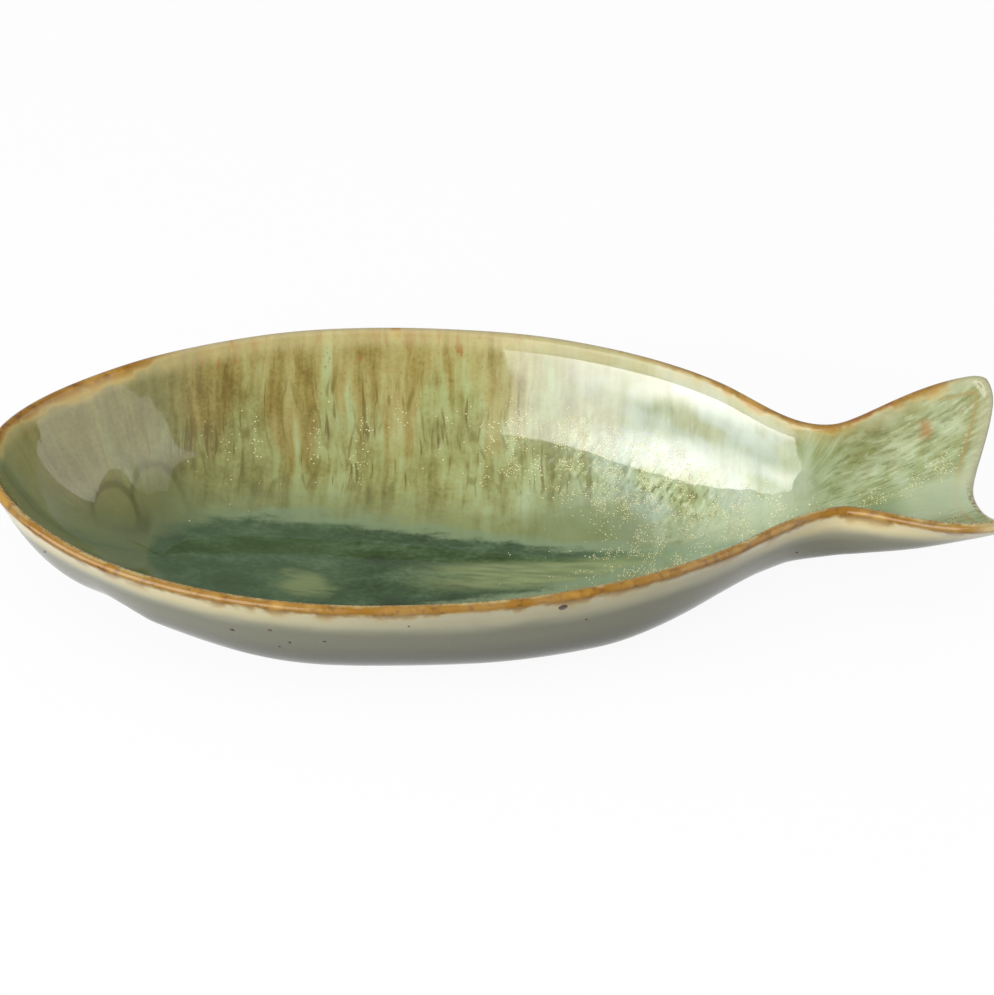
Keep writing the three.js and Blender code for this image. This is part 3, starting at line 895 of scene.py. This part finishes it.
def glassiness(finish, at):
    """How much clear glass lies over the colour. It is most towards the waist and least low on the wall."""
    pearl = finish.noise(at.along * 45 + 0.5, at.down * 40, at.sides + 60, 3.0) - 0.5
    dull = finish.away(at.down + at.x * 0.2, 0.0265) + pearl * 0.01
    dull = finish.falling(dull, 0.003, 0.009) * finish.rising(at.x, 0.036, 0.050)
    under_waist = finish.rising(at.x, 0.074, 0.084) * finish.rising(at.down, 0.016, 0.022)
    in_head = finish.falling(at.x, -0.096, -0.080)
    near_top = finish.falling(at.down, 0.006, 0.014) * finish.rising(at.x, -0.002, 0.030)
    gloss = 0.1 + in_head * 0.28 + pearl * 0.3 + at.streaked * 0.25 + near_top * 0.32
    for start_x, end_x, added in ((-0.006, 0.004, 0.3), (0.014, 0.034, 0.25), (0.040, 0.052, 0.25)):
        gloss = gloss + finish.rising(at.x, start_x, end_x) * added
    gloss = gloss - dull * 0.75 - under_waist * 0.65 + finish.rising(at.down, 0.021, 0.030) * 0.15
    ragged = at.down + (at.wide - 0.5) * 0.022 + (at.narrow - 0.5) * 0.014
    gloss = gloss * (1 - finish.rising(ragged, 0.026, 0.040) * 0.85) * (1 - at.in_tail * 0.45)
    return finish.math("MAXIMUM", gloss, 0.0)


def green_glaze(finish):
    """Colour, roughness, relief and gloss of the glaze inside the dish."""
    at = glaze_fields(finish)
    shown = wall_marks(finish, at, wall_ground(finish, at))
    shown, flecks = slanted_flecks(finish, at, shown)
    shown = head_floor(finish, at, rear_wall(finish, at, shown))
    shown, pooled = pool_shore(finish, at, shown)
    shown = tail_and_lip(finish, at, shown)
    dry = 1 - pooled
    rougher = finish.rising(at.wide, 0.42, 0.68) * 0.12 + finish.rising(at.narrow, 0.45, 0.7) * 0.1
    roughness = 0.07 + rougher * dry * 0.7
    relief = (at.wide * 0.5 + at.narrow * 0.35) * (1 - at.to_head * 0.6) + flecks * 0.5 + at.grain * 0.12
    return shown, roughness, relief * dry, glassiness(finish, at) * dry


def lip_fields(finish):
    """The places and zones from which the brown of the lip is made."""
    lip = SimpleNamespace()
    lip.x, lip.y, _ = finish.place()
    lip.along, _ = finish.runs()
    lip.from_lip = finish.fact("from_lip")
    outside = finish.fact("outside")
    half_girth = math.pi / 2 * lip_thickness
    lip.across = (outside - 0.5) * half_girth + lip.from_lip * (outside * 2 - 1)
    lip.uneven = finish.grain(110, 3.0, shift=41)
    lip.mottle = finish.grain(420, 4.0, shift=47)
    lip.far = finish.rising(lip.y, -0.006, 0.006)
    lip.at_head = finish.falling(lip.x, -0.112, -0.090)
    return lip


def lip_strength(finish, lip):
    """How much iron shows: nearly all along the near side, and on the far side at the head and the rear."""
    at_rear = finish.rising(lip.x, 0.025, 0.070) * finish.falling(lip.x, 0.134, 0.146)
    dash = finish.rising(finish.noise(lip.along * 130, lip.from_lip * 30, 53.0), 0.56, 0.68)
    strong = finish.math("MAXIMUM", lip.at_head, at_rear * 0.9)
    patch = finish.rising(finish.noise(lip.along * 60, lip.from_lip * 20, 59.0), 0.4, 0.6)
    far_strength = finish.math("MAXIMUM", strong, dash * 0.75 + 0.12)
    strength = (1 - lip.far) * (0.85 + patch * 0.15) + lip.far * far_strength
    return strength * (1 - finish.rising(lip.x, 0.138, 0.146) * 0.55)


def lip_iron(finish, lip):
    """The iron's own colour: a mottled brown, golden in places, with red patches on the tail's far lip."""
    red_patch = finish.away(lip.x, 0.1098)
    for patch_x in (0.1145, 0.1200):
        red_patch = finish.math("MINIMUM", red_patch, finish.away(lip.x, patch_x))
    red_patch = finish.falling(red_patch, 0.0006, 0.0018) * lip.far
    return finish.layered(
        paint(142, 98, 10),
        ((106, 65, 4), finish.rising(lip.mottle, 0.5, 0.66) * 0.8),
        ((186, 144, 62), finish.rising(lip.uneven, 0.5, 0.68) * 0.6),
        ((138, 62, 20), red_patch * 0.8),
    )


def iron_lip(finish, colour):
    """A glaze's colour with the brown iron that breaks through it over the lip, and cream below that."""
    lip = lip_fields(finish)
    strength = lip_strength(finish, lip)
    far_head = lip.far * lip.at_head
    half_width = 0.0012 + finish.rising(lip.uneven, 0.35, 0.68) * 0.0022 + far_head * 0.0004
    shifted = lip.across + lip.far * 0.0009 + far_head * 0.0007
    off_middle = finish.away(shifted, 0.0010) + (lip.mottle - 0.5) * 0.0012
    band = finish.falling(off_middle, half_width * 0.4, half_width * 1.6)
    yellow = finish.falling(off_middle, half_width, half_width * 2.2)
    # The cream is fullest at the head and the tail and weaker along the middle of the side, partly as
    # painted shade.
    to_head = finish.falling(lip.x, -0.105, -0.020)
    to_tail = finish.rising(lip.x, 0.060, 0.100)
    cream = 0.3 + finish.math("MAXIMUM", to_head, to_tail) * 0.7
    cream = cream * finish.rising(lip.across, 0.0, 0.0015)
    cream = cream * finish.falling(lip.across, 0.006, 0.010 + lip.uneven * 0.004)
    shown = finish.layered(colour, ((242, 228, 178), cream), ((206, 174, 98), yellow * strength * 0.6))
    shown = finish.mixed(shown, lip_iron(finish, lip), band * strength)
    grainy = finish.rising(finish.grain(900, 3.0, shift=61), 0.46, 0.58)
    inner_edge = finish.falling(finish.away(lip.across, -0.0016), 0.0004, 0.0013) * (1 - lip.far)
    inner_edge = inner_edge * grainy
    thin_line = finish.falling(finish.away(lip.across, 0.0009), 0.0002, 0.0008) * lip.far
    return finish.layered(shown, ((112, 72, 22), inner_edge * 0.75), ((128, 92, 44), thin_line * 0.6))


green = Finish("green_glaze")
green_colour, green_roughness, green_relief, green_gloss = green_glaze(green)
green_colour = iron_lip(green, green_colour)
green_material = green.finished(
    green_colour, green_roughness, green_relief, relief_depth=0.00006, ior=1.25, coat=green_gloss
)
green_coat = laid_coat("green_coat", skin_kinds == "inner", glaze_thickness, green_material)
shown_as(green_coat, "inner_glaze")

# The pool of glaze
# In the firing the runny glaze gathered in the well and set as a thick, level lens of dark green glass.
# It lies on the green coat and thins out to nothing at its shore.
pool_stations = 96
pool_lanes = 24
pool_rise = 0.0007
pool_edge_dip = 0.0001
pool_bed_depth = 0.0003
lens_head_x = -0.0995
lens_length = 0.150
lens_half_width = 0.0185
full_swell_half_width = 0.012
first_share = 0.002
spread_share = 0.99
pool_tops = []
pool_beds = []
for station in range(pool_stations + 1):
    share = (0.5 - 0.5 * math.cos(math.pi * station / pool_stations)) * spread_share + first_share
    x = lens_head_x + lens_length * share
    half_width = lens_half_width * math.sin(math.pi * math.sqrt(share))
    swell = pool_rise * min(1, half_width / full_swell_half_width)
    for lane in range(pool_lanes + 1):
        across = 2 * lane / pool_lanes - 1
        y = half_width * across
        z = skin_z(x, y, rim_height, -1.0)
        pool_tops.append((x, y, z + swell * (1 - across**2) ** 2 - pool_edge_dip))
        pool_beds.append((x, y, z - pool_bed_depth))
pool_faces = []
lanes = pool_lanes + 1
first_bed = len(pool_tops)
for station in range(pool_stations):
    for lane in range(pool_lanes):
        low = station * lanes + lane
        quad = (low, low + lanes, low + lanes + 1, low + 1)
        pool_faces.append(quad)
        pool_faces.append(tuple(first_bed + corner for corner in reversed(quad)))
last_row = pool_stations * lanes
shore = list(range(lanes))
shore += [station * lanes + pool_lanes for station in range(1, pool_stations + 1)]
shore += [last_row + lane for lane in range(pool_lanes - 1, -1, -1)]
shore += [station * lanes for station in range(pool_stations - 1, 0, -1)]
for start, end in zip(shore, shore[1:] + shore[:1]):
    pool_faces.append((start, end, first_bed + end, first_bed + start))

pool_finish = Finish("pooled_glaze")
pool_x, pool_y, _ = pool_finish.place()
pool_skin = pool_finish.grain(260, 3.0)
pool_colour = pooled_colour(pool_finish, pool_x, pool_y)
pool_roughness = 0.04 + pool_finish.rising(pool_skin, 0.5, 0.7) * 0.06
pool_material = pool_finish.finished(pool_colour, pool_roughness, pool_skin, relief_depth=0.00001, ior=1.25)
pool = add_mesh("pool", pool_tops + pool_beds, pool_faces, pool_material)
shown_as(pool, "glaze_pool")

# The white glaze outside
# A glossy off-white glaze over the outside and under the foot, faintly clouded. It is warmed to cream where
# it thins out below the brown lip. It is painted greyer lower down, partly as its own grey and partly as
# painted shade where the wall turns under, and it is darkest grey under the foot, as painted shade.


def white_glaze(finish):
    """Colour, roughness and relief of the glaze outside the dish, its colour greyed downwards partly as
    painted shade.
    """
    x, y, z = finish.place()
    cloud = finish.noise(x * 45, y * 45, z * 90, 3.0)
    fleck = finish.grain(900)
    from_lip = finish.fact("from_lip")
    # Grey from 6 to 13 mm below the lip: partly the glaze's own grey, partly painted shade.
    grey_and_painted_shade = finish.rising(from_lip + (cloud - 0.5) * 0.004, 0.006, 0.013)
    shown = finish.layered(
        paint(193, 190, 161),
        ((185, 182, 154), finish.rising(cloud, 0.4, 0.66)),
        ((144, 144, 124), grey_and_painted_shade),
        # Darker grey from 15 mm below the lip and under the foot: painted shade where the wall turns under.
        ((103, 104, 90), finish.rising(from_lip, 0.015, 0.032) * 0.85),
        ((170, 160, 132), finish.rising(fleck, 0.68, 0.76) * 0.5),
    )
    return shown, 0.12 + finish.rising(cloud, 0.4, 0.7) * 0.1, cloud


white = Finish("white_glaze")
white_colour, white_roughness, white_relief = white_glaze(white)
white_colour = iron_lip(white, white_colour)
white_material = white.finished(white_colour, white_roughness, white_relief, relief_depth=0.0001, ior=1.2)
in_foot = ((quad_middles[:, 0] - foot_middle_x) / (foot_half_length - foot_width / 2)) ** 2
in_foot = in_foot + (quad_middles[:, 1] / (foot_half_width - foot_width / 2)) ** 2 < 1
white_coat = laid_coat("white_coat", (skin_kinds == "outer") & ~in_foot, glaze_thickness, white_material)
shown_as(white_coat, "outer_glaze")

# Under the foot the white glaze's paint is at its darkest grey, which is painted shade.
base_coat = laid_coat("base_coat", (skin_kinds == "outer") & in_foot, glaze_thickness, white_material)
shown_as(base_coat, "base_glaze")

# The brown lip
# The glazes run thin over the rounded lip, and the iron of the clay breaks through there as a brown band
# with ragged edges. It joins the green coat on the inside and the white coat on the outside.
brown = Finish("brown_lip")
inner_colour, inner_roughness, inner_relief, _ = green_glaze(brown)
outer_colour, outer_roughness, _ = white_glaze(brown)
outside_share = brown.fact("outside")
lip_colour = iron_lip(brown, brown.mixed(inner_colour, outer_colour, outside_share))
lip_roughness = inner_roughness * (1 - outside_share) + outer_roughness * outside_share + 0.02
brown_material = brown.finished(lip_colour, lip_roughness, inner_relief, relief_depth=0.00008, ior=1.38)
rim_coat = laid_coat("rim_coat", skin_kinds == "rim", glaze_thickness, brown_material)
shown_as(rim_coat, "rim_glaze")

# Gold crystals
# As it cooled, the green glaze let small flat flakes of pale gold crystal grow at its surface, in strings
# down the wall, in a broad drift towards the waist, in the pale band of the well and in a stripe on each
# side of the tail.


def flake_tree(name, shape, material):
    """A node tree that strews flakes by the amounts in a mesh, and its sockets by their labels."""
    group = bpy.data.node_groups.new(name, "GeometryNodeTree")
    made_sockets = {}
    for label, way, kind in (
        ("Bed", "INPUT", "NodeSocketGeometry"),
        ("Spacing", "INPUT", "NodeSocketFloat"),
        ("Density", "INPUT", "NodeSocketFloat"),
        ("Smallest", "INPUT", "NodeSocketFloat"),
        ("Largest", "INPUT", "NodeSocketFloat"),
        ("Seed", "INPUT", "NodeSocketInt"),
        ("Flakes", "OUTPUT", "NodeSocketGeometry"),
    ):
        made_sockets[label] = group.interface.new_socket(label, in_out=way, socket_type=kind)
    nodes = {}
    for key, kind in (
        ("in", "NodeGroupInput"),
        ("out", "NodeGroupOutput"),
        ("amount", "GeometryNodeInputNamedAttribute"),
        ("points", "GeometryNodeDistributePointsOnFaces"),
        ("flake", "GeometryNodeMeshIcoSphere"),
        ("flat", "GeometryNodeTransform"),
        ("size", "FunctionNodeRandomValue"),
        ("placed", "GeometryNodeInstanceOnPoints"),
        ("real", "GeometryNodeRealizeInstances"),
        ("painted", "GeometryNodeSetMaterial"),
    ):
        nodes[key] = group.nodes.new(kind)
    nodes["amount"].inputs["Name"].default_value = name
    nodes["points"].distribute_method = "POISSON"
    nodes["flake"].inputs["Subdivisions"].default_value = 1
    nodes["flat"].inputs["Scale"].default_value = shape
    nodes["painted"].inputs["Material"].default_value = material
    for source, output, target, socket in (
        ("in", "Bed", "points", "Mesh"),
        ("in", "Spacing", "points", "Distance Min"),
        ("in", "Density", "points", "Density Max"),
        ("in", "Seed", "points", "Seed"),
        ("amount", "Attribute", "points", "Density Factor"),
        ("in", "Smallest", "size", "Min"),
        ("in", "Largest", "size", "Max"),
        ("in", "Seed", "size", "Seed"),
        ("flake", "Mesh", "flat", "Geometry"),
        ("points", "Points", "placed", "Points"),
        ("points", "Rotation", "placed", "Rotation"),
        ("flat", "Geometry", "placed", "Instance"),
        ("placed", "Instances", "real", "Geometry"),
        ("real", "Geometry", "painted", "Geometry"),
        ("painted", "Geometry", "out", "Flakes"),
    ):
        group.links.new(nodes[source].outputs[output], nodes[target].inputs[socket])
    size_out = next(socket for socket in nodes["size"].outputs if socket.type == "VALUE")
    group.links.new(size_out, nodes["placed"].inputs["Scale"])
    return group, made_sockets


def scattering(name, bed, amounts, shape, material, settings):
    """Small flakes strewn over a piece's mesh, where its amounts call for them, as a plain mesh."""
    field = bed.data.attributes.new(name, "FLOAT", "POINT")
    field.data.foreach_set("value", amounts)
    strewn = bpy.data.objects.new(name + "_bed", bed.data)
    bpy.context.scene.collection.objects.link(strewn)
    modifier = strewn.modifiers.new(name, "NODES")
    modifier.node_group, sockets = flake_tree(name, shape, material)
    for label, value in settings.items():
        modifier[sockets[label].identifier] = value
    evaluated = strewn.evaluated_get(bpy.context.evaluated_depsgraph_get())
    mesh = bpy.data.meshes.new_from_object(evaluated)
    strewn.modifiers.remove(modifier)
    bpy.data.objects.remove(strewn)
    bed.data.attributes.remove(bed.data.attributes[name])
    mesh.name = name
    flakes = bpy.data.objects.new(name, mesh)
    bpy.context.scene.collection.objects.link(flakes)
    return flakes


coat_places = np.empty(len(green_coat.data.vertices) * 3)
green_coat.data.vertices.foreach_get("co", coat_places)
coat_ways = np.empty_like(coat_places)
green_coat.data.vertices.foreach_get("normal", coat_ways)
x, y, z = coat_places.reshape(-1, 3).T
facing_in = coat_ways.reshape(-1, 3)[:, 2] > 0.2
strings = eased(ripple(x * 150, z * 8, y * 30), 0.05, 0.5)
clumps = eased(ripple(x * 260, y * 260, z * 260), -0.15, 0.4)
on_wall = eased(z, 0.009, 0.014) * (1 - eased(z, 0.022, 0.032)) * eased(x, -0.10, -0.04)
drift = hump(x, 0.042, 0.036) * eased(z, 0.0085, 0.013) * (1 - eased(z, 0.023, 0.030))
stripe_y = 0.0045 + (x - 0.11) * 0.33
tail_stripe = hump(np.abs(y), stripe_y, 0.0035) * eased(x, 0.098, 0.112)
band_y = x * 0.05 - 0.002
pale_band = hump(y, band_y, 0.005) * eased(x, -0.01, 0.012) * (1 - eased(x, 0.03, 0.05))
clumped = (drift + tail_stripe) * 1.3 + pale_band * 0.7
amounts = on_wall * strings * 0.7 + clumped * clumps
gold = Finish("gold_crystal")
gold_tone = gold.grain(1800, 1.0)
gold_colour = gold.mixed(paint(232, 226, 180), paint(204, 194, 132), gold.rising(gold_tone, 0.4, 0.65))
gold_material = gold.finished(gold_colour, 0.3, gold_tone, relief_depth=0.00002)
crystals = scattering(
    "gold_crystals",
    green_coat,
    np.clip(amounts * facing_in, 0, 1),
    shape=(1.0, 0.7, 0.22),
    material=gold_material,
    settings={"Spacing": 0.0005, "Density": 6e6, "Smallest": 0.0001, "Largest": 0.00034, "Seed": 4},
)
shown_as(crystals, "inner_glaze")

# Iron specks
# Grains of iron in the clay bled through the white glaze as dark specks, and one as a large spot close
# under the lip. They are flat blisters in the glaze's face.
speck_radii = {
    (-0.0757, -0.0580, 0.0318): 0.0008,
    (-0.0645, -0.0624, 0.0354): 0.0006,
    (-0.0589, -0.0609, 0.0295): 0.0005,
    (-0.0620, -0.0587, 0.0261): 0.0003,
    (-0.0487, -0.0632, 0.0317): 0.0005,
    (-0.0240, -0.0675, 0.0406): 0.0003,
    (0.0275, -0.0575, 0.0354): 0.0004,
    (0.0913, -0.0196, 0.0278): 0.0004,
    (-0.1321, -0.0301, 0.0382): 0.0004,
}
spot_place = (0.0206, -0.0624, 0.0439)
spot_radius = 0.0014
blister_height = 0.0003
speck_finish = Finish("iron_speck")
speck_tone = speck_finish.grain(1500)
darker = speck_finish.rising(speck_tone, 0.4, 0.65)
speck_colour = speck_finish.mixed(paint(84, 54, 22), paint(50, 34, 18), darker)
speck_material = speck_finish.finished(speck_colour, 0.25, speck_tone, relief_depth=0.00002)


def blisters(name, radii):
    """Flat round blisters in the face of the glaze, one at each place."""
    made = bmesh.new()
    for place, radius in radii.items():
        at, way, _, _ = skin_tree.find_nearest(Vector(place))
        size = Vector((radius, radius, blister_height))
        lie = Matrix.LocRotScale(at, way.to_track_quat("Z", "Y"), size)
        bmesh.ops.create_icosphere(made, subdivisions=2, radius=1.0, matrix=lie)
    made.verts.index_update()
    points = [corner.co.to_tuple() for corner in made.verts]
    faces = [[corner.index for corner in face.verts] for face in made.faces]
    made.free()
    return add_mesh(name, points, faces, speck_material)


specks = blisters("iron_specks", speck_radii)
shown_as(specks, "outer_glaze")
spot = blisters("iron_spot", {spot_place: spot_radius})
shown_as(spot, "rim_glaze")

# The studio
# A white table in an even room. Two soft boxes are only mirrored: a bright one at the front left, on the far
# wall towards the tail, and a dimmer one on the right, at the head. A key light from the front left, a light
# from above and a low fill from the right only light the dish.
floor_reach = 4.0
floor_drop = 0.0003
floor_corners = [(x * floor_reach, y * floor_reach, 0) for x, y in ((-1, -1), (1, -1), (1, 1), (-1, 1))]
floor_mesh = bpy.data.meshes.new("floor")
floor_mesh.from_pydata(floor_corners, [], [(0, 1, 2, 3)])
floor = bpy.data.objects.new("floor", floor_mesh)
floor.location.z = -floor_drop
bpy.context.scene.collection.objects.link(floor)


def in_sight(tree):
    """1 for what is seen, in a mirror or through glass too, and 0 for what only lights the dish."""
    ray = tree.nodes.new("ShaderNodeLightPath")
    seen = ray.outputs["Is Camera Ray"]
    for way in ("Is Glossy Ray", "Is Transmission Ray"):
        either = tree.nodes.new("ShaderNodeMath")
        either.operation = "MAXIMUM"
        tree.links.new(seen, either.inputs[0])
        tree.links.new(ray.outputs[way], either.inputs[1])
        seen = either.outputs[0]
    return seen


def between(tree, share, low, high):
    """A value that goes from low to high with a share."""
    made = tree.nodes.new("ShaderNodeMapRange")
    made.inputs["To Min"].default_value = low
    made.inputs["To Max"].default_value = high
    tree.links.new(share, made.inputs["Value"])
    return made.outputs["Result"]


table_white = 0.9
bounced_share = 0.12
shadow_share = 0.07
table = bpy.data.materials.new("white_table")
table.use_nodes = True
table_tree = table.node_tree
table_tree.nodes.remove(table_tree.nodes["Principled BSDF"])
table_seen = in_sight(table_tree)
shaded = table_tree.nodes.new("ShaderNodeBsdfDiffuse")
table_tree.links.new(between(table_tree, table_seen, bounced_share, table_white), shaded.inputs["Color"])
plain_white = table_tree.nodes.new("ShaderNodeEmission")
shadowed_white = table_tree.nodes.new("ShaderNodeMixShader")
table_tree.links.new(between(table_tree, table_seen, 0.0, 1 - shadow_share), shadowed_white.inputs[0])
table_tree.links.new(shaded.outputs[0], shadowed_white.inputs[1])
table_tree.links.new(plain_white.outputs[0], shadowed_white.inputs[2])
table_tree.links.new(shadowed_white.outputs[0], table_tree.nodes["Material Output"].inputs["Surface"])
floor_mesh.materials.append(table)

room_strength = 0.4
world = bpy.data.worlds.new("studio")
world.use_nodes = True
room = world.node_tree
room.nodes["Background"].inputs["Color"].default_value = (1, 1, 1, 1)
room_brightness = between(room, in_sight(room), room_strength, 1.0)
room.links.new(room_brightness, room.nodes["Background"].inputs["Strength"])
bpy.context.scene.world = world
bpy.context.scene.view_settings.view_transform = "Standard"


def soft_box(name, middle, aim, size, brightness, mirrored, colour=(1.0, 1.0, 1.0)):
    """A lamp that is seen in the glaze, or one that only lights it."""
    lamp = bpy.data.lights.new(name, "AREA")
    lamp.shape = "RECTANGLE"
    lamp.size, lamp.size_y = size
    lamp.energy = brightness * math.pi * size[0] * size[1]
    lamp.color = colour
    box = bpy.data.objects.new(name, lamp)
    box.location = middle
    box.rotation_euler = (Vector(aim) - Vector(middle)).to_track_quat("-Z", "Y").to_euler()
    box.visible_camera = False
    box.visible_glossy = mirrored
    box.visible_diffuse = not mirrored
    bpy.context.scene.collection.objects.link(box)


soft_box(
    "left_box",
    middle=(-0.564, -0.46, 0.35),
    aim=(0.171, 0.219, 0.35),
    size=(0.94, 0.70),
    brightness=6.3,
    mirrored=True,
    colour=(1.0, 0.965, 0.935),
)
soft_box(
    "right_box",
    middle=(0.627, -0.16, 0.42),
    aim=(0.0, -0.16, 0.42),
    size=(0.63, 0.84),
    brightness=1.9,
    mirrored=True,
    colour=(1.0, 0.98, 0.96),
)
soft_box(
    "top_light",
    middle=(-0.1, -0.9, 1.25),
    aim=(0.0, 0.0, 0.0),
    size=(1.6, 1.2),
    brightness=2.3,
    mirrored=False,
)
soft_box(
    "low_fill",
    middle=(1.0, -1.0, 0.2),
    aim=(0.0, 0.0, 0.03),
    size=(0.6, 0.3),
    brightness=6.5,
    mirrored=False,
)
soft_box(
    "key_light",
    middle=(-1.2, -0.8, 0.56),
    aim=(0.0, 0.0, 0.03),
    size=(0.9, 0.7),
    brightness=7.9,
    mirrored=False,
)

camera_target = Vector((0.0015, 0.0, rim_height - 0.0116))
camera_rise = math.radians(38)
camera_distance = 1.5
camera_data = bpy.data.cameras.new("camera")
camera_data.sensor_width = 36
camera_data.lens = 180.9
camera = bpy.data.objects.new("camera", camera_data)
camera_back = Vector((0, -math.cos(camera_rise), math.sin(camera_rise)))
camera.location = camera_target + camera_distance * camera_back
camera.rotation_euler = (-camera_back).to_track_quat("-Z", "Y").to_euler()
bpy.context.scene.collection.objects.link(camera)
bpy.context.scene.camera = camera
